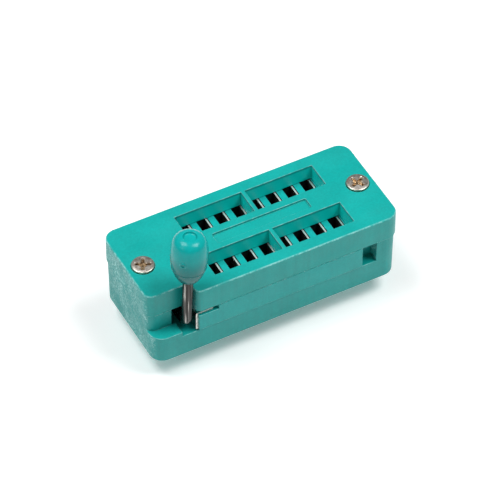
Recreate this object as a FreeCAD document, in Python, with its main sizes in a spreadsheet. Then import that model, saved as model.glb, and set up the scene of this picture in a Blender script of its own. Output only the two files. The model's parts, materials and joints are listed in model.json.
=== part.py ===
import FreeCAD, Part
import math
import os

import Sketcher

# A zero-insertion-force test socket for sixteen-lead dual in-line packages.
# X runs along the block towards the end that has no lever, Y to the back and Z up.
# Every piece is drawn about the middle of the block, and its Placement then moves
# the middle of the sixteen solder tails, on the board's surface, to the origin.

DRIVING_DIMENSIONS = [
    # Block as a whole
    ("block_length", 35.9),
    ("block_width", 15.1),
    ("block_height", 10.73),
    ("corner_radius", 1.8),
    ("split_height", 7.0),
    ("rail_height", 3.5),
    ("edge_radius", 0.22),
    ("rim_radius", 0.08),
    # Lead pattern
    ("lead_pitch", 2.54),
    ("row_spacing", 7.62),
    ("leads_per_row", 8),
    ("pattern_centre", 2.69),
    # Lever shaft and the corner that is cut back for the lever
    ("shaft_place", -13.0),
    ("shaft_height", 5.1),
    ("rod_diameter", 1.4),
    ("rod_line", -6.75),
    ("rod_bend_radius", 1.1),
    ("lever_lean", 2.5),
    ("lever_swing", 92.5),
    ("slider_travel", 1.2),
    ("setback_line", -5.5),
    ("setback_radius", 1.1),
    ("step_place", -11.85),
    ("step_radius", 0.9),
    ("ledge_end", -13.9),
    ("ledge_height", 4.25),
    ("running_gap", 0.05),
    ("eccentric_gap", 0.04),
    ("cheek_spare", 0.02),
    ("lobe_end_gap", 0.2),
    ("cutter_margin", 1.0),
    # Base housing
    ("base_inset", 0.1),
    ("base_draft", 1.0),
    ("bay_left", -14.5),
    ("bay_right", 14.55),
    ("back_wall_line", 5.3),
    ("back_wall_end", -12.05),
    ("core_left", -8.9),
    ("core_half_width", 5.8),
    ("core_top", 6.1),
    ("bearing_front", -3.4),
    ("bearing_thickness", 1.0),
    ("well_front", -2.2),
    ("well_right", -9.9),
    ("well_floor", 2.3),
    ("shaft_end", 6.6),
    ("underside_relief", 0.4),
    ("relief_left", -9.5),
    ("relief_half_width", 5.9),
    # Top cover
    ("pocket_left", -8.25),
    ("pocket_right", 12.0),
    ("pocket_width", 3.82),
    ("rib_centre", 1.78),
    ("rib_width", 0.55),
    ("cavity_left", -11.55),
    ("cavity_right", 14.05),
    ("cavity_half_width", 6.5),
    ("cavity_ceiling", 8.36),
    ("label_left", -5.35),
    ("label_right", 8.38),
    ("label_front", -0.95),
    ("label_back", 0.8),
    ("label_depth", 0.35),
    ("label_radius", 0.25),
    # Screws
    ("screw_place", 15.7),
    ("screw_head_diameter", 3.0),
    ("screw_head_height", 0.9),
    ("screw_dome", 0.18),
    ("screw_shank_diameter", 1.5),
    ("screw_length", 7.2),
    ("screw_clearance_diameter", 1.9),
    ("screw_rim_radius", 0.12),
    ("counterbore_diameter", 3.12),
    ("counterbore_depth", 0.5),
    ("cross_width", 0.5),
    ("cross_span", 2.1),
    ("cross_depth", 0.6),
    ("left_cross_turn", -28.0),
    ("right_cross_turn", 24.0),
    ("pilot_spare", 0.3),
    # Slider plate and its wear clip
    ("slider_left", -11.5),
    ("slider_right", 12.45),
    ("slider_top", 8.29),
    ("slider_underside", 6.2),
    ("slider_half_width", 6.3),
    ("skirt_outside", 7.5),
    ("skirt_inside", 6.0),
    ("skirt_top", 6.92),
    ("skirt_bottom", 3.56),
    ("end_wall_thickness", 1.0),
    ("slot_before_leaf", 1.42),
    ("slot_after_leaf", 0.22),
    ("slot_half_width", 2.1),
    ("clip_step_end", -8.65),
    ("clip_step_height", 6.2),
    ("clip_thickness", 0.35),
    ("clip_bend_radius", 0.25),
    ("clip_half_width", 7.2),
    ("clip_ear_width", 1.1),
    ("clip_ear_end", -9.35),
    ("clip_bottom", 3.65),
    # Contacts
    ("contact_thickness", 0.22),
    ("leaf_half_width", 1.95),
    ("leaf_bottom", 6.14),
    ("leaf_top", 8.2),
    ("stem_half_width", 1.2),
    ("cell_before_leaf", 1.3),
    ("cell_half_width", 1.7),
    ("stem_bottom", 0.9),
    ("tail_half_width", 0.25),
    ("tail_length", 3.3),
    ("tail_tip", 0.35),
    # Lever knob
    ("knob_radius", 2.44),
    ("knob_waist", 12.24),
    ("knob_upper_height", 3.98),
    ("knob_upper_power", 3.17),
    ("knob_shoulder", 3.2),
    ("knob_crown", 3.45),
    ("knob_crown_radius", 1.15),
    ("knob_lower_height", 4.84),
    ("knob_lower_power", 1.9),
    ("knob_bottom", 4.05),
    ("knob_dimple_radius", 0.9),
    ("knob_dimple_depth", 0.3),
    ("rod_top", 13.6),
]

doc = FreeCAD.newDocument("TestSocket")
dims = doc.addObject("Spreadsheet::Sheet", "Dims")
for row, (alias, number) in enumerate(DRIVING_DIMENSIONS, start=1):
    dims.set(f"A{row}", alias)
    dims.set(f"B{row}", str(number))
    dims.setAlias(f"B{row}", alias)
doc.recompute()

PIECES = []


def value(formula):
    """Number that a formula in the sheet's aliases has now."""
    return float(dims.evalExpression(formula))


def new_body(name):
    """Body in the block's frame, moved so that the solder tails are centred on the origin."""
    body = doc.addObject("PartDesign::Body", name)
    body.Label = name
    body.setExpression("Placement.Base.x", "-Dims.pattern_centre")
    PIECES.append(body)
    return body


def sketch_on(body, name, role, offset="0"):
    """Sketch on one of the body's own origin planes, moved along its normal by a formula."""
    sketch = body.newObject("Sketcher::SketchObject", name)
    plane = [item for item in body.Origin.OriginFeatures if item.Role == role][0]
    sketch.AttachmentSupport = [(plane, "")]
    sketch.MapMode = "FlatFace"
    sketch.setExpression("AttachmentOffset.Base.z", offset)
    return sketch


def bind(sketch, constraint, formula):
    """Add a sketch constraint and bind its size to a formula."""
    index = sketch.addConstraint(constraint)
    sketch.setExpression(f"Constraints[{index}]", formula)


def place_point(sketch, geometry, point, across, up):
    """Bind both coordinates of a sketch point to formulas."""
    bind(sketch, Sketcher.Constraint("DistanceX", -1, 1, geometry, point, value(across)), across)
    bind(sketch, Sketcher.Constraint("DistanceY", -1, 1, geometry, point, value(up)), up)


def add_polygon(sketch, corners):
    """Closed outline of straight lines through corners given as pairs of formulas."""
    points = [FreeCAD.Vector(value(across), value(up), 0) for across, up in corners]
    lines = []
    for index, point in enumerate(points):
        following = points[(index + 1) % len(points)]
        lines.append(sketch.addGeometry(Part.LineSegment(point, following), False))
    for index, line in enumerate(lines):
        following = lines[(index + 1) % len(lines)]
        sketch.addConstraint(Sketcher.Constraint("Coincident", line, 2, following, 1))
        place_point(sketch, line, 1, *corners[index])


def add_rectangle(sketch, left, right, low, high):
    """Rectangle between four formulas."""
    add_polygon(sketch, [(left, low), (right, low), (right, high), (left, high)])


def add_circle(sketch, across, up, radius):
    """Circle placed and sized by formulas."""
    centre = FreeCAD.Vector(value(across), value(up), 0)
    normal = FreeCAD.Vector(0, 0, 1)
    circle = sketch.addGeometry(Part.Circle(centre, normal, value(radius)), False)
    bind(sketch, Sketcher.Constraint("Radius", circle, value(radius)), radius)
    place_point(sketch, circle, 3, across, up)


def add_rounded(sketch, corners):
    """Closed outline of lines along the two axes, each corner (across, up, radius)
    rounded by a tangent arc. A radius of None leaves the corner sharp."""
    points = [FreeCAD.Vector(value(across), value(up), 0) for across, up, _ in corners]
    radii = [value(radius) if radius else 0.0 for _, _, radius in corners]
    count = len(corners)
    entries = []
    exits = []
    for index, point in enumerate(points):
        before = (points[index - 1] - point).normalize()
        after = (points[(index + 1) % count] - point).normalize()
        entries.append(point + before * radii[index])
        exits.append(point + after * radii[index])
    lines = []
    for index in range(count):
        following = (index + 1) % count
        segment = Part.LineSegment(exits[index], entries[following])
        lines.append(sketch.addGeometry(segment, False))
    for index, (across, up, radius) in enumerate(corners):
        next_across, next_up, _ = corners[(index + 1) % count]
        line = lines[index]
        if across == next_across:
            sketch.addConstraint(Sketcher.Constraint("Vertical", line))
            bind(sketch, Sketcher.Constraint("DistanceX", -1, 1, line, 1, value(across)), across)
        else:
            sketch.addConstraint(Sketcher.Constraint("Horizontal", line))
            bind(sketch, Sketcher.Constraint("DistanceY", -1, 1, line, 1, value(up)), up)
        incoming = lines[index - 1]
        if not radius:
            sketch.addConstraint(Sketcher.Constraint("Coincident", incoming, 2, line, 1))
            continue
        centre = entries[index] + exits[index] - points[index]
        start = entries[index] - centre
        end = exits[index] - centre
        turns_left = start.cross(end).z > 0
        first, last = (start, end) if turns_left else (end, start)
        arc = Part.ArcOfCircle(
            Part.Circle(centre, FreeCAD.Vector(0, 0, 1), radii[index]),
            math.atan2(first.y, first.x),
            math.atan2(last.y, last.x),
        )
        arc_index = sketch.addGeometry(arc, False)
        arc_entry, arc_exit = (1, 2) if turns_left else (2, 1)
        sketch.addConstraint(Sketcher.Constraint("Tangent", incoming, 2, arc_index, arc_entry))
        sketch.addConstraint(Sketcher.Constraint("Tangent", arc_index, arc_exit, line, 1))
        bind(sketch, Sketcher.Constraint("Radius", arc_index, radii[index]), radius)


def pad(body, name, sketch, length, draft=None):
    """Material added along the sketch's normal."""
    feature = body.newObject("PartDesign::Pad", name)
    feature.Profile = sketch
    feature.setExpression("Length", length)
    if draft:
        feature.setExpression("TaperAngle", draft)
    doc.recompute()
    return feature


def pocket(body, name, sketch, depth):
    """Material removed against the sketch's normal. It stops the build if nothing goes."""
    before = body.Shape.Volume
    feature = body.newObject("PartDesign::Pocket", name)
    feature.Profile = sketch
    feature.setExpression("Length", depth)
    doc.recompute()
    if body.Shape.Volume >= before:
        raise RuntimeError(f"{name} cuts nothing")
    return feature


def repeat_along_row(body, name, feature, sketch):
    """The same feature at every lead of the rows."""
    pattern = body.newObject("PartDesign::LinearPattern", name)
    pattern.Originals = [feature]
    pattern.Direction = (sketch, ["H_Axis"])
    pattern.setExpression("Length", "(Dims.leads_per_row - 1) * Dims.lead_pitch")
    pattern.setExpression("Occurrences", "Dims.leads_per_row")
    body.Tip = pattern
    doc.recompute()
    return pattern


def round_edges(body, name, feature, radius, chosen):
    """Fillet on the edges of a feature that a test on the edge chooses."""
    names = [f"Edge{n}" for n, edge in enumerate(feature.Shape.Edges, start=1) if chosen(edge)]
    if not names:
        raise RuntimeError(f"{name} finds no edge")
    fillet = body.newObject("PartDesign::Fillet", name)
    fillet.Base = (feature, names)
    fillet.setExpression("Radius", radius)
    doc.recompute()
    return fillet


def lies_at_height(height):
    """Test for edges that lie flat at one height."""
    def test(edge):
        box = edge.BoundBox
        return abs(box.ZMin - height) < 0.01 and abs(box.ZMax - height) < 0.01
    return test


def is_round(edge, radius):
    """Whether an edge is a whole circle of one radius."""
    return edge.Closed and hasattr(edge.Curve, "Radius") and abs(edge.Curve.Radius - radius) < 0.01


def stands_near(place, line, reach):
    """Test for upright edges within reach of one point of the plan, in the block's frame."""
    def test(edge):
        box = edge.BoundBox
        upright = box.ZLength > 5 * max(box.XLength, box.YLength)
        return upright and math.hypot(box.Center.x - place, box.Center.y - line) < reach
    return test


ROWS = [("front", "-Dims.row_spacing / 2"), ("back", "Dims.row_spacing / 2")]
FIRST_LEAD = "(Dims.pattern_centre - (Dims.leads_per_row - 1) / 2 * Dims.lead_pitch)"


def make_base_housing():
    """Lower housing: floor, two end blocks, the core that holds the contacts, and the
    corner cut back to a ledge for the lever."""
    body = new_body("base_housing")
    half_length = "(Dims.block_length / 2 - Dims.base_inset - Dims.split_height * tan(Dims.base_draft))"
    half_width = "(Dims.block_width / 2 - Dims.base_inset - Dims.split_height * tan(Dims.base_draft))"
    round_corner = "Dims.corner_radius"

    outline = sketch_on(body, "base_outline", "XY_Plane")
    add_rounded(outline, [
        (f"-{half_length}", f"-{half_width}", round_corner),
        (half_length, f"-{half_width}", round_corner),
        (half_length, half_width, round_corner),
        (f"-{half_length}", half_width, round_corner),
    ])
    block = pad(body, "base_block", outline, "Dims.split_height", "Dims.base_draft")
    round_edges(body, "base_foot_edge", block, "Dims.edge_radius / 2", lies_at_height(0))

    bay = sketch_on(body, "slider_bay_plan", "XY_Plane", "Dims.split_height")
    beyond = "Dims.block_width"
    add_polygon(bay, [
        ("Dims.bay_left", "Dims.setback_line"),
        ("Dims.ledge_end", "Dims.setback_line"),
        ("Dims.ledge_end", f"-{beyond}"),
        ("Dims.bay_right", f"-{beyond}"),
        ("Dims.bay_right", beyond),
        ("Dims.back_wall_end", beyond),
        ("Dims.back_wall_end", "Dims.back_wall_line"),
        ("Dims.bay_left", "Dims.back_wall_line"),
    ])
    pocket(body, "slider_bay", bay, "Dims.split_height - Dims.rail_height")

    ledge = sketch_on(body, "lever_ledge_plan", "XY_Plane", "Dims.split_height")
    add_rectangle(ledge, "-Dims.block_length", "Dims.ledge_end", f"-{beyond}", "Dims.setback_line")
    cut = pocket(body, "lever_ledge", ledge, "Dims.split_height - Dims.ledge_height")
    corner_place = -value("Dims.block_length / 2 - Dims.base_inset")
    corner = stands_near(corner_place, value("Dims.setback_line"), 0.5)
    round_edges(body, "setback_corner", cut, "Dims.setback_radius", corner)

    core = sketch_on(body, "contact_core_plan", "XY_Plane", "Dims.rail_height")
    add_rectangle(core, "Dims.core_left", "Dims.bay_right",
                  "-Dims.core_half_width", "Dims.core_half_width")
    pad(body, "contact_core", core, "Dims.core_top - Dims.rail_height")

    well = sketch_on(body, "eccentric_well_plan", "XY_Plane", "Dims.rail_height")
    add_rectangle(well, "Dims.bay_left", "Dims.well_right", "Dims.well_front", "Dims.back_wall_line")
    pocket(body, "eccentric_well", well, "Dims.rail_height - Dims.well_floor")

    bearing = sketch_on(body, "front_bearing_plan", "XY_Plane", "Dims.rail_height")
    add_rectangle(bearing, "Dims.bay_left", "Dims.shaft_place", "Dims.bearing_front",
                  "Dims.bearing_front + Dims.bearing_thickness")
    pad(body, "front_bearing", bearing, "Dims.split_height - Dims.rail_height")

    notch = sketch_on(body, "shaft_notch_section", "XZ_Plane", "-Dims.bearing_front")
    notch_radius = "(Dims.rod_diameter / 2 + Dims.running_gap)"
    add_circle(notch, "Dims.shaft_place", "Dims.shaft_height", notch_radius)
    pocket(body, "shaft_notch", notch, "Dims.shaft_end + Dims.running_gap - Dims.bearing_front")

    mouth = sketch_on(body, "shaft_mouth_section", "XZ_Plane", "-Dims.back_wall_line")
    add_rectangle(mouth, "Dims.shaft_place", "Dims.back_wall_end + Dims.cutter_margin",
                  f"Dims.shaft_height - {notch_radius}", f"Dims.shaft_height + {notch_radius}")
    pocket(body, "shaft_mouth", mouth,
           "Dims.shaft_end + Dims.running_gap - Dims.back_wall_line")

    for side, place in (("left", "-Dims.screw_place"), ("right", "Dims.screw_place")):
        pilot = sketch_on(body, f"{side}_pilot_plan", "XY_Plane", "Dims.split_height")
        add_circle(pilot, place, "0.0", "Dims.screw_shank_diameter / 2")
        pocket(body, f"{side}_pilot_hole", pilot,
               "Dims.screw_length - (Dims.block_height - Dims.counterbore_depth"
               " - Dims.split_height) + Dims.pilot_spare")

    relief = sketch_on(body, "underside_relief_plan", "XY_Plane", "Dims.underside_relief")
    add_rectangle(relief, "Dims.relief_left", "Dims.bay_right",
                  "-Dims.relief_half_width", "Dims.relief_half_width")
    pocket(body, "underside_relief", relief, "Dims.underside_relief")

    cells = sketch_on(body, "contact_cell_plan", "XY_Plane", "Dims.core_top")
    tails = sketch_on(body, "tail_hole_plan", "XY_Plane", "Dims.stem_bottom")
    half_thickness = "(Dims.contact_thickness / 2 + Dims.running_gap)"
    for _, row in ROWS:
        add_rectangle(cells,
                      f"{FIRST_LEAD} - Dims.cell_before_leaf", f"{FIRST_LEAD} + {half_thickness}",
                      f"{row} - Dims.cell_half_width", f"{row} + Dims.cell_half_width")
        add_rectangle(tails,
                      f"{FIRST_LEAD} - {half_thickness}", f"{FIRST_LEAD} + {half_thickness}",
                      f"{row} - Dims.tail_half_width - Dims.running_gap",
                      f"{row} + Dims.tail_half_width + Dims.running_gap")
    cell = pocket(body, "contact_cell", cells, "Dims.core_top - Dims.stem_bottom")
    repeat_along_row(body, "contact_cells", cell, cells)
    tail_hole = pocket(body, "tail_hole", tails, "Dims.stem_bottom")
    finished = repeat_along_row(body, "tail_holes", tail_hole, tails)

    split = lies_at_height(value("Dims.split_height"))
    ledge_top = lies_at_height(value("Dims.ledge_height"))
    rail_top = lies_at_height(value("Dims.rail_height"))
    skirt_line = value("Dims.slider_half_width")

    def is_outer_rim(edge):
        box = edge.BoundBox
        past_bay = box.XMin < value("Dims.bay_left") - 0.01 or box.XMax > value("Dims.bay_right") + 0.01
        on_block = split(edge) and past_bay and not is_round(edge, value("Dims.screw_shank_diameter / 2"))
        on_ledge = ledge_top(edge) and box.YMin < value("Dims.setback_line") - 0.01
        on_rail = rail_top(edge) and abs(box.Center.y) > skirt_line and box.YLength < 0.01
        return on_block or on_ledge or on_rail

    round_edges(body, "base_rims", finished, "Dims.rim_radius", is_outer_rim)
    return body


def make_top_cover():
    """Upper housing with two receiving pockets, each with a rib across it, a shallow label
    recess between them, and the corner cut back for the lever."""
    body = new_body("top_cover")
    half_length = "Dims.block_length / 2"
    half_width = "Dims.block_width / 2"
    round_corner = "Dims.corner_radius"

    outline = sketch_on(body, "cover_outline", "XY_Plane", "Dims.split_height")
    add_rounded(outline, [
        (f"-{half_length}", "Dims.setback_line", "Dims.setback_radius"),
        ("Dims.step_place", "Dims.setback_line", None),
        ("Dims.step_place", f"-{half_width}", "Dims.step_radius"),
        (half_length, f"-{half_width}", round_corner),
        (half_length, half_width, round_corner),
        (f"-{half_length}", half_width, round_corner),
    ])
    block = pad(body, "cover_block", outline, "Dims.block_height - Dims.split_height")
    round_edges(body, "cover_top_edge", block, "Dims.edge_radius",
                lies_at_height(value("Dims.block_height")))

    cavity = sketch_on(body, "slider_cavity_plan", "XY_Plane", "Dims.cavity_ceiling")
    add_rectangle(cavity, "Dims.cavity_left", "Dims.cavity_right",
                  "-Dims.cavity_half_width", "Dims.cavity_half_width")
    pocket(body, "slider_cavity", cavity, "Dims.cavity_ceiling - Dims.split_height")

    receiving = sketch_on(body, "receiving_pocket_plan", "XY_Plane", "Dims.block_height")
    for _, row in ROWS:
        front = f"{row} - Dims.pocket_width / 2"
        back = f"{row} + Dims.pocket_width / 2"
        add_rectangle(receiving, "Dims.pocket_left", "Dims.rib_centre - Dims.rib_width / 2",
                      front, back)
        add_rectangle(receiving, "Dims.rib_centre + Dims.rib_width / 2", "Dims.pocket_right",
                      front, back)
    pocket(body, "receiving_pockets", receiving, "Dims.block_height - Dims.cavity_ceiling + 0.01")

    label = sketch_on(body, "label_recess_plan", "XY_Plane", "Dims.block_height")
    add_rounded(label, [
        ("Dims.label_left", "Dims.label_front", "Dims.label_radius"),
        ("Dims.label_right", "Dims.label_front", "Dims.label_radius"),
        ("Dims.label_right", "Dims.label_back", "Dims.label_radius"),
        ("Dims.label_left", "Dims.label_back", "Dims.label_radius"),
    ])
    pocket(body, "label_recess", label, "Dims.label_depth")

    bores = sketch_on(body, "counterbore_plan", "XY_Plane", "Dims.block_height")
    shanks = sketch_on(body, "screw_hole_plan", "XY_Plane",
                       "Dims.block_height - Dims.counterbore_depth")
    for place in ("-Dims.screw_place", "Dims.screw_place"):
        add_circle(bores, place, "0.0", "Dims.counterbore_diameter / 2")
        add_circle(shanks, place, "0.0", "Dims.screw_clearance_diameter / 2")
    pocket(body, "screw_counterbores", bores, "Dims.counterbore_depth")
    finished = pocket(body, "screw_holes", shanks,
                      "Dims.block_height - Dims.counterbore_depth - Dims.split_height")

    top = lies_at_height(value("Dims.block_height"))
    split = lies_at_height(value("Dims.split_height"))

    def is_rim(edge):
        box = edge.BoundBox
        over_pockets = (box.XMin > value("Dims.pocket_left") - 0.01
                        and box.XMax < value("Dims.pocket_right") + 0.01)
        over_cavity = (box.XMin > value("Dims.cavity_left") - 0.01
                       and box.XMax < value("Dims.cavity_right") + 0.01)
        in_pockets = over_pockets and abs(box.Center.y) < value("Dims.cavity_half_width")
        in_cavity = over_cavity and abs(box.Center.y) < value("Dims.cavity_half_width") + 0.01
        shank_hole = is_round(edge, value("Dims.screw_clearance_diameter / 2"))
        counterbore = is_round(edge, value("Dims.counterbore_diameter / 2"))
        return (top(edge) and (in_pockets or counterbore)
                or split(edge) and not in_cavity and not shank_hole)

    round_edges(body, "cover_rims", finished, "Dims.rim_radius", is_rim)
    return body


def make_slider_plate():
    """Sliding plate: an upside-down channel with sixteen slots, one round each contact."""
    body = new_body("slider_plate")
    section = sketch_on(body, "slider_section", "YZ_Plane", "Dims.slider_left")
    add_polygon(section, [
        ("-Dims.skirt_outside", "Dims.skirt_bottom"),
        ("-Dims.skirt_inside", "Dims.skirt_bottom"),
        ("-Dims.skirt_inside", "Dims.slider_underside"),
        ("Dims.skirt_inside", "Dims.slider_underside"),
        ("Dims.skirt_inside", "Dims.skirt_bottom"),
        ("Dims.skirt_outside", "Dims.skirt_bottom"),
        ("Dims.skirt_outside", "Dims.skirt_top"),
        ("Dims.slider_half_width", "Dims.skirt_top"),
        ("Dims.slider_half_width", "Dims.slider_top"),
        ("-Dims.slider_half_width", "Dims.slider_top"),
        ("-Dims.slider_half_width", "Dims.skirt_top"),
        ("-Dims.skirt_outside", "Dims.skirt_top"),
    ])
    pad(body, "slider_channel", section, "Dims.slider_right - Dims.slider_left")

    end_wall = sketch_on(body, "end_wall_section", "YZ_Plane", "Dims.slider_left")
    add_rectangle(end_wall, "-Dims.skirt_inside", "Dims.skirt_inside",
                  "Dims.skirt_bottom", "Dims.slider_underside")
    pad(body, "end_wall", end_wall, "Dims.end_wall_thickness")

    slots = sketch_on(body, "slider_slot_plan", "XY_Plane", "Dims.slider_top")
    for _, row in ROWS:
        add_rectangle(slots,
                      f"{FIRST_LEAD} - Dims.slot_before_leaf", f"{FIRST_LEAD} + Dims.slot_after_leaf",
                      f"{row} - Dims.slot_half_width", f"{row} + Dims.slot_half_width")
    slot = pocket(body, "slider_slot", slots, "Dims.slider_top - Dims.slider_underside")
    repeat_along_row(body, "slider_slots", slot, slots)

    steps = sketch_on(body, "clip_step_plan", "XY_Plane", "Dims.skirt_top")
    for low, high in (("-Dims.skirt_outside - Dims.cutter_margin", "-Dims.slider_half_width"),
                      ("Dims.slider_half_width", "Dims.skirt_outside + Dims.cutter_margin")):
        add_rectangle(steps, "Dims.slider_left - Dims.cutter_margin", "Dims.clip_step_end", low, high)
    finished = pocket(body, "clip_steps", steps, "Dims.skirt_top - Dims.clip_step_height")

    def is_skirt_rim(edge):
        box = edge.BoundBox
        on_face = box.YLength < 0.01 and abs(abs(box.Center.y) - value("Dims.skirt_outside")) < 0.01
        long_edge = box.XLength > value("Dims.lead_pitch")
        right_end = box.XMin > value("Dims.slider_right") - 0.01
        return on_face and (long_edge or right_end)

    round_edges(body, "skirt_rims", finished, "Dims.rim_radius", is_skirt_rim)
    return body


def make_wear_clip():
    """Bent steel strip on the slider's end, which the lever's eccentric pushes. Two ears
    fold over the steps in the slider's skirts."""
    body = new_body("slider_wear_clip")
    face = sketch_on(body, "clip_leg_section", "YZ_Plane", "Dims.slider_left - Dims.clip_thickness")
    add_rectangle(face, "-Dims.clip_half_width", "Dims.clip_half_width",
                  "Dims.clip_bottom", "Dims.clip_step_height + Dims.clip_thickness")
    leg = pad(body, "clip_leg", face, "Dims.clip_thickness")

    ears = sketch_on(body, "clip_ear_plan", "XY_Plane", "Dims.clip_step_height")
    inner_edge = "(Dims.slider_half_width + Dims.running_gap)"
    for low, high in (("-Dims.clip_half_width", f"-{inner_edge}"),
                      (inner_edge, "Dims.clip_half_width")):
        add_rectangle(ears, "Dims.slider_left - Dims.clip_thickness", "Dims.clip_ear_end", low, high)
    ears_added = pad(body, "clip_ears", ears, "Dims.clip_thickness")

    def is_bend(edge):
        box = edge.BoundBox
        at_corner = (box.XMax < value("Dims.slider_left - Dims.clip_thickness") + 0.01
                     and box.ZMin > value("Dims.clip_step_height + Dims.clip_thickness") - 0.01)
        return at_corner and box.YLength > value("Dims.clip_half_width")

    round_edges(body, "clip_bend", ears_added, "Dims.clip_bend_radius", is_bend)
    return body


def make_screw(name, place, turn):
    """Self-tapping cover screw: domed head that stands proud of the cover, with a cross
    recess turned by an angle, and a pointed shank."""
    body = new_body(name)
    body.setExpression("Placement.Base.x", f"{place} - Dims.pattern_centre")
    profile = sketch_on(body, f"{name}_profile", "XZ_Plane")
    seat = "(Dims.block_height - Dims.counterbore_depth)"
    rim = f"({seat} + Dims.screw_head_height - Dims.screw_dome)"
    crown = f"({seat} + Dims.screw_head_height)"
    shank = "Dims.screw_shank_diameter / 2"
    head = "Dims.screw_head_diameter / 2"
    corners = [
        ("0", f"{seat} - Dims.screw_length"),
        (shank, f"{seat} - Dims.screw_length + Dims.screw_shank_diameter / 2"),
        (shank, seat),
        (head, seat),
        (head, rim),
        ("0", crown),
    ]
    points = [FreeCAD.Vector(value(across), value(up), 0) for across, up in corners]
    half_chord = points[4].x
    rise = points[5].y - points[4].y
    dome_radius = (half_chord ** 2 + rise ** 2) / (2 * rise)
    lines = []
    for start, end in zip(points[:4], points[1:5]):
        lines.append(profile.addGeometry(Part.LineSegment(start, end), False))
    centre = FreeCAD.Vector(0, points[5].y - dome_radius, 0)
    start_angle = math.atan2(points[4].y - centre.y, points[4].x)
    dome = profile.addGeometry(
        Part.ArcOfCircle(Part.Circle(centre, FreeCAD.Vector(0, 0, 1), dome_radius),
                         start_angle, math.pi / 2), False)
    axis = profile.addGeometry(Part.LineSegment(points[5], points[0]), False)
    for index, line in enumerate(lines):
        place_point(profile, line, 1, *corners[index])
    for before, after in zip(lines[:3], lines[1:]):
        profile.addConstraint(Sketcher.Constraint("Coincident", before, 2, after, 1))
    profile.addConstraint(Sketcher.Constraint("Coincident", lines[3], 2, dome, 1))
    profile.addConstraint(Sketcher.Constraint("Coincident", dome, 2, axis, 1))
    profile.addConstraint(Sketcher.Constraint("Coincident", axis, 2, lines[0], 1))
    place_point(profile, dome, 1, head, rim)
    place_point(profile, dome, 2, "0", crown)
    profile.addConstraint(Sketcher.Constraint("PointOnObject", dome, 3, -2))
    turned = body.newObject("PartDesign::Revolution", f"{name}_turned")
    turned.Profile = profile
    turned.ReferenceAxis = (profile, ["V_Axis"])
    turned.Angle = 360
    doc.recompute()
    rim_height = value(rim)
    round_edges(body, f"{name}_rim", turned, "Dims.screw_rim_radius", lies_at_height(rim_height))

    cross = sketch_on(body, f"{name}_cross_plan", "XY_Plane", crown)
    arm = "Dims.cross_span / 2"
    half = "Dims.cross_width / 2"
    add_polygon(cross, [
        (f"-{half}", f"-{arm}"), (half, f"-{arm}"), (half, f"-{half}"), (arm, f"-{half}"),
        (arm, half), (half, half), (half, arm), (f"-{half}", arm),
        (f"-{half}", half), (f"-{arm}", half), (f"-{arm}", f"-{half}"), (f"-{half}", f"-{half}"),
    ])
    cross.setExpression("AttachmentOffset.Rotation.Angle", turn)
    pocket(body, f"{name}_cross", cross, "Dims.cross_depth")
    return body


def make_contact(name, place, row):
    """Stamped contact: a broad leaf in the slider's slot, a stem in the base and a tail."""
    body = new_body(name)
    body.setExpression("Placement.Base.x", f"{place}")
    body.setExpression("Placement.Base.y", row)
    outline = sketch_on(body, f"{name}_outline", "YZ_Plane", "-Dims.contact_thickness / 2")
    right_side = [
        ("Dims.tail_half_width / 2", "-Dims.tail_length"),
        ("Dims.tail_half_width", "-Dims.tail_length + Dims.tail_tip"),
        ("Dims.tail_half_width", "Dims.stem_bottom"),
        ("Dims.stem_half_width", "Dims.stem_bottom"),
        ("Dims.stem_half_width", "Dims.leaf_bottom"),
        ("Dims.leaf_half_width", "Dims.leaf_bottom"),
        ("Dims.leaf_half_width", "Dims.leaf_top"),
    ]
    left_side = [(f"-{across}", up) for across, up in reversed(right_side)]
    add_polygon(outline, right_side + left_side)
    pad(body, f"{name}_blank", outline, "Dims.contact_thickness")
    return body


def tilt_with_lever(piece):
    """Put a piece drawn about the shaft's axis in its place, with the lever's lean."""
    piece.Placement.Rotation = FreeCAD.Rotation(FreeCAD.Vector(0, 1, 0), 0)
    piece.setExpression("Placement.Base.x", "Dims.shaft_place - Dims.pattern_centre")
    piece.setExpression("Placement.Base.z", "Dims.shaft_height")
    piece.setExpression("Placement.Rotation.Axis.x", "0")
    piece.setExpression("Placement.Rotation.Axis.y", "1")
    piece.setExpression("Placement.Rotation.Axis.z", "0")
    piece.setExpression("Placement.Rotation.Angle", "Dims.lever_lean")


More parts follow.
